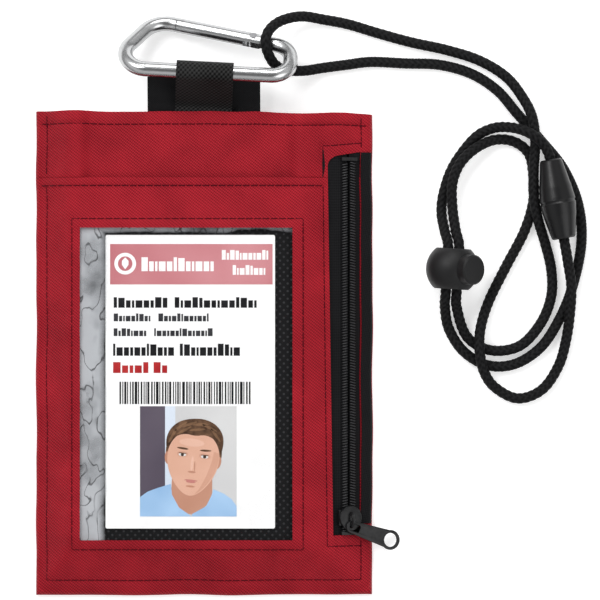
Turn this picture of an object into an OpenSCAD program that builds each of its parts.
// Lanyard badge holder: a phone pouch with a badge window and a zip pocket, hung from
// a snap hook on a looped neck cord with a cord lock and a breakaway connector.
// It lies on its back. +X is to the right, +Y towards the pouch mouth, +Z up.
// The origin is the centre of the back face. Lengths are in millimetres.

/* [Pouch] */
// Overall width of the pouch
pouch_width = 112; // [112:1:116]
// Overall height of the pouch
pouch_height = 162; // [162:1:166]
// Width of the sewn edges
seam_width = 2; // [1.5:0.5:2]
// Clear depth of the phone pocket
phone_depth = 7.2; // [7:0.1:8]
// Thickness of the outer fabric
fabric = 0.8; // [0.6:0.1:0.8]
// Extra thickness where the fabric is turned over and stitched
hem = 0.4; // [0.2:0.1:0.4]

/* [Badge window] */
// Width of the window
window_width = 70.4; // [68:0.2:70.4]
// Height of the window
window_height = 103.6; // [101:0.2:103.6]
// Width of the badge card
card_width = 56.1; // [50:0.1:58]
// Height of the badge card
card_height = 97.2; // [86:0.1:97.6]
// Thickness of the badge card
card_thickness = 0.7; // [0.4:0.05:0.8]

/* [Zip] */
// Length of the toothed row
coil_length = 122.9; // [118:0.1:122.9]
// Width of each coil row
coil_width = 2.2; // [1.8:0.1:2.2]
// Length of the slider
slider_length = 8.4; // [7.6:0.1:8.4]
// Length of the pull from its pivot
pull_length = 18; // [14:0.5:18]
// Diameter of the ring at the end of the pull
pull_ring = 6.6; // [6:0.1:7]

/* [Strap and webbing] */
// Width of the closure strap
strap_width = 37.5; // [32:0.5:38]
// Width of the webbing loop
webbing_width = 19; // [16:0.5:20]
// Thickness of the webbing around the hook
webbing_wall = 1.1; // [0.9:0.1:1.2]

/* [Snap hook] */
// Diameter of the hook bar
bar_diameter = 5; // [4.6:0.1:5]
// Angle of the hook below level
hook_tilt = 42; // [40:1:42]
// Diameter of the gate rivet
rivet_diameter = 2.4; // [2:0.1:2.4]

/* [Cord lock] */
// Radius of the ball
lock_radius = 8.8; // [8.7:0.05:8.8]
// Distance from the middle to each flat end
lock_flat = 6.75; // [6.4:0.05:6.75]
// Radius of the push button
button_radius = 4.95; // [4.7:0.05:4.95]
// How far the button goes in
button_travel = 2; // [1.4:0.1:2]

/* [Breakaway connector] */
// Radius at the seam
seam_radius = 6; // [5.9:0.1:6.2]
// Length of the socket half
socket_length = 14.3; // [13.6:0.1:14.4]
// Length of the plug half
plug_length = 12.3; // [11.8:0.1:12.4]

/* [Cord] */
// Diameter of the braided cord
cord_diameter = 3.5; // [3:0.1:3.5]

/* [Hidden] */
$fn = 48;

// Pouch outline inside the sewn edges
half_width = pouch_width / 2;
half_height = pouch_height / 2;
side_x = half_width - seam_width;
floor_y = -half_height + seam_width;
top_y = half_height;

// Heights of the layers, from the back face up
lining = 0.4;
pocket_floor = 0.8 + lining;
pocket_top = pocket_floor + phone_depth;
panel_z = pocket_top + 2.8;
edge_z = 2.6;
seam_height = edge_z + 0.8;

// Flat top of the pouch and the fold line of the zip side
fold_left = -44;
fold_right = 34;
fold_bottom = -64;
fold_top = 57.8;

// Badge window
window_x = -5.8;
window_y = -10.6;
card_x = -4.45;
card_y = -9.8;

// Zip line, lying on the slope of the right side
zip_tilt = atan((panel_z - edge_z) / (side_x - fold_right));
zip_x = 47.8;
zip_z = panel_z - (zip_x - fold_right) * tan(zip_tilt);
zip_bottom = -59.5;
slider_y = zip_bottom + 0.1 + slider_length / 2;
pull_pivot = -2.8;
pull_heading = -18;

// Hook corners in its own plane, with the bend radius at each
bar = bar_diameter / 2;
spine = [0.5, 92.4, 17.6];
spine_turn = -2.9;
corner_a = [-32.8, 0];
corner_b = [28, 0];
corner_c = [28, 13.2];
corner_d = [-17.5, 22.7];
gate_side = (corner_d - corner_c) / norm(corner_d - corner_c);
gate_angle = atan2(gate_side[1], gate_side[0]);
rivet_at = 13;
gate_start = 10.4;
gate_end = 39;
nose_at = 39.3;
lip = 2;

// Cord lock and breakaway placement
lock_centre = [82.4, 27.6, 8.8];
lock_turn = -3.5;
button_tilt = 42;
seam_centre = [117.4, 49.8, 7];
connector_turn = 9.5;

// Route of the cord: socket, cord lock, lower loop, hook
strand_a = [
    [115.8, 59.2, 7], [115, 63.8, 7], [113.5, 67.5, 7.75], [111, 70.5, 9],
    [107, 73, 9], [102, 74.5, 6.5], [96.5, 74.5, 3.5], [91, 72, 1.75],
    [86, 66.5, 1.75], [82, 60, 1.75], [79.5, 52, 1.75], [79, 46, 2.25],
    [80, 40, 5.25], [81, 34.5, 8.75], [80.2, 20.5, 8.75], [80, 15, 5.25],
    [81.5, 7.5, 2], [86.5, 0, 1.75], [94.5, -4.5, 1.75], [103.5, -4, 1.75],
    [112, 1.5, 1.75], [118, 10.5, 1.75], [122.5, 21.5, 1.75], [125.5, 36, 1.75],
    [124.5, 49, 1.75], [119.5, 61, 1.75], [111.5, 71, 1.75], [104, 79.5, 1.75],
    [97.5, 87, 1.75], [89, 92.5, 1.75], [78.5, 95.5, 1.75], [67, 96, 1.75],
    [55.5, 96.5, 1.75], [47, 95.5, 1.75], [39.5, 94.5, 2]];

// Bight threaded through the hook
bight = [
    [39.5, 94.5, 2], [33.5, 93.5, 3.75], [28, 93.5, 6], [24, 95, 8.5],
    [21.5, 98.5, 11], [20.5, 103, 12.25], [22, 107, 11], [26, 110, 8],
    [32.5, 111.5, 4.75], [40, 110.5, 2.5]];

// Route of the cord: hook, inner loop, cord lock, outer loop, plug
strand_b = [
    [40, 110.5, 2.5], [48, 109, 1.75], [58, 106, 1.75], [69, 103, 1.75],
    [80.5, 100.5, 1.75], [91.5, 97, 1.75], [100.5, 91.5, 1.75],
    [106, 84.5, 2.75], [109, 78, 5], [110, 70, 5.5], [109.5, 60.5, 5.5],
    [109.5, 52, 5.5], [111, 44, 4.25], [113.5, 36, 2], [115.5, 27.5, 1.75],
    [115.5, 18.5, 1.75], [112, 9.5, 1.75], [105, 2, 1.75], [95.5, 0.5, 1.75],
    [87.5, 5, 1.75], [84, 14.5, 5], [83.8, 20.5, 8.75], [84.6, 34.5, 8.75],
    [83.5, 40.5, 6.75], [82.5, 48, 5.25], [82.5, 56, 5.5], [85, 62.5, 5.75],
    [90, 67.5, 4.75], [96.5, 70.5, 2.25], [103, 70, 1.75], [108, 66, 1.75],
    [109.5, 59, 1.75], [109.5, 50, 1.75], [106.5, 40, 1.75], [100.5, 28.5, 1.75],
    [95, 17.5, 1.75], [92, 8.5, 4.25], [91.5, 1, 5.75], [93, -6.5, 4.75],
    [97, -12, 2], [104.5, -15.5, 1.75], [112.5, -12.5, 1.75],
    [118, -4.5, 1.75], [120.5, 4.5, 2.75], [121.6, 13.5, 5.25],
    [121.9, 22, 6.75], [120.9, 29.1, 7], [118.9, 40.8, 7]];

// Positions along the gate side of the hook
function gate_point(x) = corner_c + gate_side * x;

// Geometry of a bar with rounded bends
function heading(p, i) = atan2(p[i + 1][1] - p[i][1], p[i + 1][0] - p[i][0]);
function turn(p, i) = (heading(p, i) - heading(p, i - 1) + 540) % 360 - 180;
function trim(p, b, i) = i == 0 || i == len(p) - 1 ? 0 : b[i] * tan(turn(p, i) / 2);
function straight(p, b, i) = norm(p[i + 1] - p[i]) - trim(p, b, i) - trim(p, b, i + 1)
    + (i > 0 ? 0.2 : 0) + (i < len(p) - 2 ? 0.2 : 0);

// Rings and faces of a cord
function unit(v) = v / norm(v);
function aim(r, i) = unit(r[min(i + 1, len(r) - 1)] - r[max(i - 1, 0)]);
function side(r, i) = unit(cross(aim(r, i), [0, 0, 1]));
function ring(r, i, d) = [for (k = [0:7]) r[i]
    + d / 2 * (cos(45 * k) * side(r, i) + sin(45 * k) * cross(side(r, i), aim(r, i)))];
function rings(r, d) = [for (i = [0:len(r) - 1]) each ring(r, i, d)];
function skin(n) = [
    [for (k = [7:-1:0]) k],
    [for (k = [0:7]) (n - 1) * 8 + k],
    for (i = [0:n - 2], k = [0:7]) [i * 8 + k, i * 8 + (k + 1) % 8, (i + 1) * 8 + (k + 1) % 8],
    for (i = [0:n - 2], k = [0:7]) [i * 8 + k, (i + 1) * 8 + (k + 1) % 8, (i + 1) * 8 + k]];

// Block between two corners
module block(a, b) {
    translate(a)
        cube(b - a);
}

// Outline drawn in Y and Z, drawn out between two X positions
module along_x(x0, x1) {
    translate([x0, 0, 0])
        rotate([90, 0, 90])
            linear_extrude(height = x1 - x0)
                children();
}

// Outline drawn in X and Z, drawn out between two Y positions
module along_y(y0, y1) {
    translate([0, y1, 0])
        rotate([90, 0, 0])
            linear_extrude(height = y1 - y0)
                children();
}

// Block with rounded upright edges
module rounded_block(a, b, r) {
    translate([0, 0, a[2]])
        linear_extrude(height = b[2] - a[2])
            rounded_outline([a[0], a[1]], [b[0], b[1]], r);
}

// Rectangle with round corners
module rounded_outline(a, b, r) {
    for (x = [a[0] + r, b[0] - r])
        for (y = [a[1] + r, b[1] - r])
            translate([x, y])
                circle(r = r);
    translate([a[0], a[1] + r])
        square([b[0] - a[0], b[1] - a[1] - 2 * r]);
    translate([a[0] + r, a[1]])
        square([b[0] - a[0] - 2 * r, b[1] - a[1]]);
}

// Sheet with a raised flat top that slopes down to three low edges
module folded_sheet(x0, x1, y0, y1, fx0, fx1, fy0, low, high, t) {
    low_corners = [[x0, y0, low], [x1, y0, low], [x1, y1, low], [x0, y1, low]];
    high_corners = [[fx0, fy0, high], [fx1, fy0, high], [fx1, y1, high], [fx0, y1, high]];
    under = concat(low_corners, high_corners);
    polyhedron(points = concat(under, [for (p = under) p + [0, 0, t]]),
        faces = [[0, 1, 5, 4], [1, 2, 6, 5], [3, 0, 4, 7], [4, 5, 6, 7],
            [12, 13, 9, 8], [13, 14, 10, 9], [15, 12, 8, 11], [15, 14, 13, 12],
            [0, 8, 9, 1], [1, 9, 10, 2], [3, 11, 8, 0], [7, 15, 11, 3],
            [6, 14, 15, 7], [2, 10, 14, 6]]);
}

// Cord drawn along a route
module cord(route, d) {
    polyhedron(points = rings(route, d), faces = skin(len(route)));
}

// Round bar following corners, with a bend radius at each
module bent_bar(p, b, r) {
    for (i = [0:len(p) - 2])
        translate([p[i][0], p[i][1], 0])
            rotate([0, 0, heading(p, i)])
                translate([trim(p, b, i) - (i > 0 ? 0.2 : 0), 0, 0])
                    rotate([0, 90, 0])
                        cylinder(r = r - 0.02, h = straight(p, b, i));
    for (i = [1:len(p) - 2])
        translate([p[i][0], p[i][1], 0])
            rotate([0, 0, heading(p, i - 1)])
                translate([-trim(p, b, i), b[i], 0])
                    rotate([0, 0, -90])
                        rotate_extrude(angle = turn(p, i))
                            translate([b[i], 0])
                                circle(r = r);
}

// Hook plane: X along the spine, Y towards the gate side
module on_hook() {
    translate(spine)
        rotate([0, 0, spine_turn])
            rotate([-hook_tilt, 0, 0])
                children();
}

// Gate line: X from the lower bend to the nose, Y into the eye
module on_gate() {
    on_hook()
        translate([corner_c[0], corner_c[1], 0])
            rotate([0, 0, gate_angle])
                children();
}

// Zip line: Z straight up from the sloping panel
module on_zip() {
    translate([zip_x, 0, zip_z])
        rotate([0, zip_tilt, 0])
            children();
}

// Cord lock: Y along the cord
module on_lock() {
    translate(lock_centre)
        rotate([0, 0, lock_turn])
            children();
}

// Push button: Z out of the ball
module on_button() {
    on_lock()
        rotate([0, button_tilt, 0])
            children();
}

// Connector: Z from the socket to the plug
module on_connector() {
    translate(seam_centre)
        rotate([90, 0, connector_turn])
            children();
}

// Outer fabric of the back
module back_panel() {
    color("firebrick")
        block([-side_x, floor_y, 0], [side_x, top_y, 0.8]);
}

// Thin lining of the phone pocket
module back_lining() {
    color("dimgray")
        block([-side_x, floor_y, 0.8], [side_x, top_y - 1, pocket_floor]);
}

// Turned and stitched left edge
module left_seam() {
    color("firebrick")
        block([-half_width, -half_height, 0], [-side_x, half_height, seam_height]);
}

// Turned and stitched right edge
module right_seam() {
    color("firebrick")
        block([side_x, -half_height, 0], [half_width, half_height, seam_height]);
}

// Turned and stitched lower edge
module bottom_seam() {
    color("firebrick")
        block([-side_x, -half_height, 0], [side_x, floor_y, seam_height]);
}

// Lining between the phone pocket and the badge pocket
module pocket_divider() {
    color("dimgray")
        difference() {
            folded_sheet(-side_x, side_x, floor_y, top_y - 1, fold_left, 26, -62,
                1.3, pocket_top, 0.4);
            block([-20, 62, pocket_top - 1], [20, top_y, pocket_top + 1]);
        }
}

// Front fabric between the window and the mouth
module front_top_panel() {
    low = pocket_top + 0.55;
    color("firebrick")
        difference() {
            along_y(52, top_y)
                polygon([[-side_x, edge_z], [fold_left, panel_z], [-42, panel_z],
                    [-37, low], [27, low], [32, panel_z], [fold_right, panel_z],
                    [side_x, edge_z], [side_x, edge_z + 0.7], [fold_right, panel_z + 0.7],
                    [32, panel_z + 0.7], [27, low + 0.7], [-37, low + 0.7],
                    [-42, panel_z + 0.7], [fold_left, panel_z + 0.7],
                    [-side_x, edge_z + 0.7]]);
            block([-half_width, 51, 0], [-39.8, fold_top + 0.1, 20]);
            block([29.8, 51, 0], [half_width, fold_top + 0.1, 20]);
            block([41.2, 51, 0], [52, 64.7, 20]);
        }
}

// Front fabric with the window and zip openings
module window_panel() {
    color("firebrick") {
        difference() {
            folded_sheet(-side_x, side_x, floor_y, fold_top, fold_left, fold_right,
                fold_bottom, edge_z, panel_z, fabric);
            rounded_block([window_x - window_width / 2, window_y - window_height / 2, panel_z - 1],
                [window_x + window_width / 2, window_y + window_height / 2, panel_z + 2], 2);
            block([41.2, -60.8, 0], [52, 70, 20]);
        }
        difference() {
            rounded_block([-43.8, -63.8, panel_z + fabric], [32, 43.6, panel_z + fabric + hem], 3);
            rounded_block([window_x - window_width / 2, window_y - window_height / 2, panel_z - 1],
                [window_x + window_width / 2, window_y + window_height / 2, panel_z + 2], 2);
        }
        block([fold_left, fold_top - 2.5, panel_z + fabric], [fold_right, fold_top, panel_z + fabric + hem]);
    }
}

// Clear sheet stitched behind the window frame
module clear_window() {
    color("lightsteelblue")
        block([-42.5, -63.8, panel_z - 0.3], [31, 42.8, panel_z]);
}

// Black mesh behind the badge
module window_backing() {
    color("black")
        block([-43, -62.8, pocket_top + 0.8], [32, 51.5, pocket_top + 1.1]);
}

// Badge card in the window pocket
module badge_insert() {
    color("white")
        rounded_block([card_x - card_width / 2, card_y - card_height / 2, pocket_top + 1.5],
            [card_x + card_width / 2, card_y + card_height / 2, pocket_top + 1.5 + card_thickness], 0.6);
}

// Zip tape on the window side
module zipper_tape_left() {
    color("black")
        on_zip()
            block([-9.5, -63, -0.4], [-0.35, 67, 0]);
}

// Zip tape on the edge side
module zipper_tape_right() {
    color("black")
        on_zip()
            block([0.35, -63, -0.4], [5.9, 67, 0]);
}

// Coil row on the window side
module zipper_coil_left() {
    color("black")
        on_zip()
            along_y(zip_bottom, zip_bottom + coil_length)
                polygon([[-0.4 - coil_width, 0], [-0.4, 0], [-0.4, 1.1], [-0.6, 1.3],
                    [0.1 - coil_width, 1.3], [-0.4 - coil_width, 0.9]]);
}

// Coil row on the edge side
module zipper_coil_right() {
    color("black")
        on_zip()
            along_y(zip_bottom, zip_bottom + coil_length)
                polygon([[0.4 + coil_width, 0], [0.4, 0], [0.4, 1.1], [0.6, 1.3],
                    [coil_width - 0.1, 1.3], [0.4 + coil_width, 0.9]]);
}

// Stop at the mouth end of the zip
module zipper_top_stop() {
    color("dimgray")
        on_zip()
            block([-2.8, zip_bottom + coil_length + 0.1, 0], [2.8, zip_bottom + coil_length + 1.2, 1.5]);
}

// Stop at the lower end of the zip
module zipper_bottom_stop() {
    color("dimgray")
        on_zip()
            block([-2.8, zip_bottom - 1.2, 0], [2.8, zip_bottom - 0.1, 1.5]);
}

// Slider with its flanges, web, bottom plate and bridge
module zipper_slider() {
    half = slider_length / 2;
    color("black")
        on_zip()
            translate([0, slider_y, 0]) {
                rounded_block([-4, -half, 1.55], [4, half, 2.5], 1.5);
                block([-4, 1.5 - half, 0.35], [-2.9, half - 1.5, 1.6]);
                block([2.9, 1.5 - half, 0.35], [4, half - 1.5, 1.6]);
                block([-0.2, half - 2.4, -0.7], [0.2, half - 0.6, 1.6]);
                rounded_block([-4, -half, -1.15], [3.6, half, -0.6], 1.5);
                translate([0, pull_pivot, 2.4])
                    cylinder(r = 0.6, h = 2);
                translate([0, 1.8, 2.4])
                    cylinder(r = 0.6, h = 2);
                rounded_block([-0.8, pull_pivot - 0.8, 4.2], [0.8, 2.6, 5], 0.7);
            }
}

// Flat pull with a ring at its end
module zipper_pull() {
    ring_at = pull_length - pull_ring / 2;
    color("black")
        on_zip()
            translate([0, slider_y + pull_pivot, 2.75])
                rotate([0, 0, pull_heading])
                    linear_extrude(height = 0.8)
                        difference() {
                            union() {
                                circle(r = 2);
                                polygon([[0, -2], [ring_at, -2.9], [ring_at, 2.9], [0, 2]]);
                                translate([ring_at, 0])
                                    circle(r = pull_ring / 2);
                            }
                            circle(r = 0.68);
                            translate([ring_at, 0])
                                circle(r = pull_ring / 2 - 0.9);
                        }
}

// Black cloth folded over the edge beside the zip
module right_edge_strip() {
    slope = tan(zip_tilt);
    color("black")
        along_y(-57, 66)
            polygon([[side_x - 1.5, seam_height + 1.5 * slope], [side_x, seam_height],
                [side_x + 1.6, seam_height], [side_x + 1.6, seam_height + 0.5],
                [side_x, seam_height + 0.5], [side_x - 1.5, seam_height + 0.5 + 1.5 * slope]]);
}

// Wide closure strap coming out of the mouth
module closure_strap() {
    low = pocket_top - 2.6;
    color("black")
        along_x(-strap_width / 2, strap_width / 2)
            polygon([[64, low], [top_y + 2.4, low], [95, low + 3.4], [95, low + 4.4],
                [top_y + 2.4, low + 1], [64, low + 1]]);
}

// Folded webbing holding the hook
module webbing_loop() {
    low = pocket_top - 1.55 - spine[2];
    start = top_y + 0.9 - spine[1];
    half = webbing_width / 2;
    color("black")
        translate(spine)
            rotate([0, 0, spine_turn])
                difference() {
                    union() {
                        along_x(-half, half)
                            polygon([[start - 15, low], [start, low], [1.2, -3.2], [-1.8, -2],
                                [-2.8, 2], [start - 0.7, low + 1.9], [start - 15, low + 1.9]]);
                        translate([-half, 0, 0])
                            rotate([0, 90, 0])
                                cylinder(r = bar + 0.1 + webbing_wall, h = webbing_width);
                    }
                    translate([-half - 1, 0, 0])
                        rotate([0, 90, 0])
                            cylinder(r = bar + 0.08, h = webbing_width + 2);
                }
}

// Bent bar of the snap hook, with the hinge tongue and the nose lip
module carabiner_body() {
    path = [gate_point(nose_at), corner_d, corner_a, corner_b, corner_c, gate_point(9)];
    color("silver")
        difference() {
            union() {
                on_hook()
                    bent_bar(path, [0, 9, 7, 6.4, 6.4, 0], bar);
                on_gate() {
                    block([8.2, -2, -1], [rivet_at, 2, 1]);
                    translate([rivet_at, 0, -1])
                        cylinder(r = 2, h = 2);
                    intersection() {
                        translate([nose_at - lip, 0, 0])
                            rotate([0, 90, 0])
                                cylinder(r = bar, h = lip + 0.5);
                        block([nose_at - lip - 1, -5, -5], [nose_at + 2, -0.1, 5]);
                    }
                }
            }
            on_gate()
                translate([rivet_at, 0, -3])
                    cylinder(r = rivet_diameter / 2, h = 6);
        }
}

// Spring gate of the snap hook
module carabiner_gate() {
    color("silver")
        on_gate()
            difference() {
                translate([gate_start, 0, 0])
                    rotate([0, 90, 0])
                        cylinder(r = bar, h = gate_end - gate_start);
                block([gate_start - 1, -4, -1.2], [rivet_at + 3, 4, 1.2]);
                block([nose_at - lip - 0.3, -4, -4], [gate_end + 1, 0.1, 4]);
                translate([rivet_at, 0, -4])
                    cylinder(r = rivet_diameter / 2 + 0.05, h = 8);
                translate([rivet_at + 2.5, 0, 0])
                    rotate([0, 90, 0])
                        cylinder(r = 1, h = 11);
            }
}

// Rivet the gate turns on
module gate_rivet() {
    color("gainsboro")
        on_gate()
            translate([rivet_at, 0, 0.05 - bar])
                cylinder(r = rivet_diameter / 2, h = 2 * bar - 0.1);
}

// Spring wire inside the gate
module gate_spring() {
    color("gray")
        on_gate()
            translate([rivet_at + 3.3, 0, 0])
                rotate([0, 90, 0])
                    cylinder(r = 0.9, h = 9.6);
}

// Neck cord on both sides of the hook
module neck_cord() {
    color("black") {
        cord(strand_a, cord_diameter * 0.96);
        cord(strand_b, cord_diameter * 0.96);
    }
}

// Part of the cord that moves with the hook
module cord_bight() {
    last = len(bight) - 1;
    color("black")
        cord([bight[0] + unit(bight[1] - bight[0]) * 0.9,
            for (i = [1:last - 1]) bight[i],
            bight[last] - unit(bight[last] - bight[last - 1]) * 0.9],
            cord_diameter * 0.96);
}

// Ball of the cord lock with its cord passage and button bore
module cord_lock_barrel() {
    color("black")
        difference() {
            on_lock()
                rotate([90, 0, 0])
                    rotate_extrude()
                        intersection() {
                            circle(r = lock_radius);
                            translate([3.9, -lock_flat])
                                square([6, 2 * lock_flat]);
                        }
            on_button() {
                translate([0, 0, -3.1 - button_travel])
                    cylinder(r = button_radius + 0.05, h = 20);
                translate([0, 0, -4.85 - button_travel])
                    cylinder(r = 4.15, h = 5);
                translate([0, 0, -5.85 - button_travel])
                    cylinder(r = 3.05, h = 5);
            }
        }
}

// Spring-loaded push button with its slot for the cord
module cord_lock_button() {
    color("black")
        on_button()
            difference() {
                union() {
                    translate([0, 0, -3])
                        cylinder(r = button_radius, h = 13.1);
                    translate([0, 0, 10.1])
                        cylinder(r1 = button_radius, r2 = button_radius - 0.5, h = 0.5);
                    translate([0, 0, -4.8])
                        cylinder(r = 4.1, h = 2);
                }
                translate([0, 6, 0])
                    rotate([90, 0, 0])
                        linear_extrude(height = 12) {
                            circle(r = 3.85);
                            translate([-3.85, 0])
                                square([7.7, button_travel]);
                            translate([0, button_travel])
                                circle(r = 3.85);
                        }
            }
}

// Flat spring washer below the button
module cord_lock_spring() {
    color("gray")
        on_button()
            translate([0, 0, -5.85 - button_travel])
                difference() {
                    cylinder(r = 3, h = 0.9);
                    translate([0, 0, -1])
                        cylinder(r = 2.2, h = 3);
                }
}

// Socket half of the breakaway connector
module breakaway_socket() {
    color("black")
        on_connector()
            rotate_extrude()
                polygon([[2, -socket_length], [3.2, -socket_length], [3.7, 0.5 - socket_length],
                    [4.5, -9.5], [5.4, -5], [seam_radius - 0.1, -1.5], [seam_radius, -0.6],
                    [seam_radius - 0.3, 0], [4.36, 0], [4.36, -5.1], [3, -5.1], [3, -9.7], [2, -9.7]]);
}

// Plug half of the breakaway connector
module breakaway_plug() {
    color("black")
        on_connector()
            rotate_extrude()
                polygon([[2, plug_length], [3.5, plug_length], [4, plug_length - 0.5],
                    [4.7, 8.5], [5.5, 4.5], [seam_radius - 0.1, 1.5], [seam_radius, 0.6],
                    [seam_radius - 0.3, 0], [4.3, 0], [4.3, -5], [3.4, -5], [3.4, 3],
                    [3.3, 3.2], [3.3, 9.2], [2, 9.2]]);
}

// Knots that keep the cord ends inside the connector
module cord_end_knots() {
    color("dimgray")
        on_connector() {
            translate([0, 0, -9.4])
                cylinder(r = 2.85, h = 3);
            translate([0, 0, 6])
                cylinder(r = 2.85, h = 3);
        }
}

back_panel();
back_lining();
left_seam();
right_seam();
bottom_seam();
pocket_divider();
front_top_panel();
window_panel();
clear_window();
window_backing();
badge_insert();
zipper_tape_left();
zipper_tape_right();
zipper_coil_left();
zipper_coil_right();
zipper_top_stop();
zipper_bottom_stop();
zipper_slider();
zipper_pull();
right_edge_strip();
closure_strap();
webbing_loop();
carabiner_body();
carabiner_gate();
gate_rivet();
gate_spring();
neck_cord();
cord_bight();
cord_lock_barrel();
cord_lock_button();
cord_lock_spring();
breakaway_socket();
breakaway_plug();
cord_end_knots();
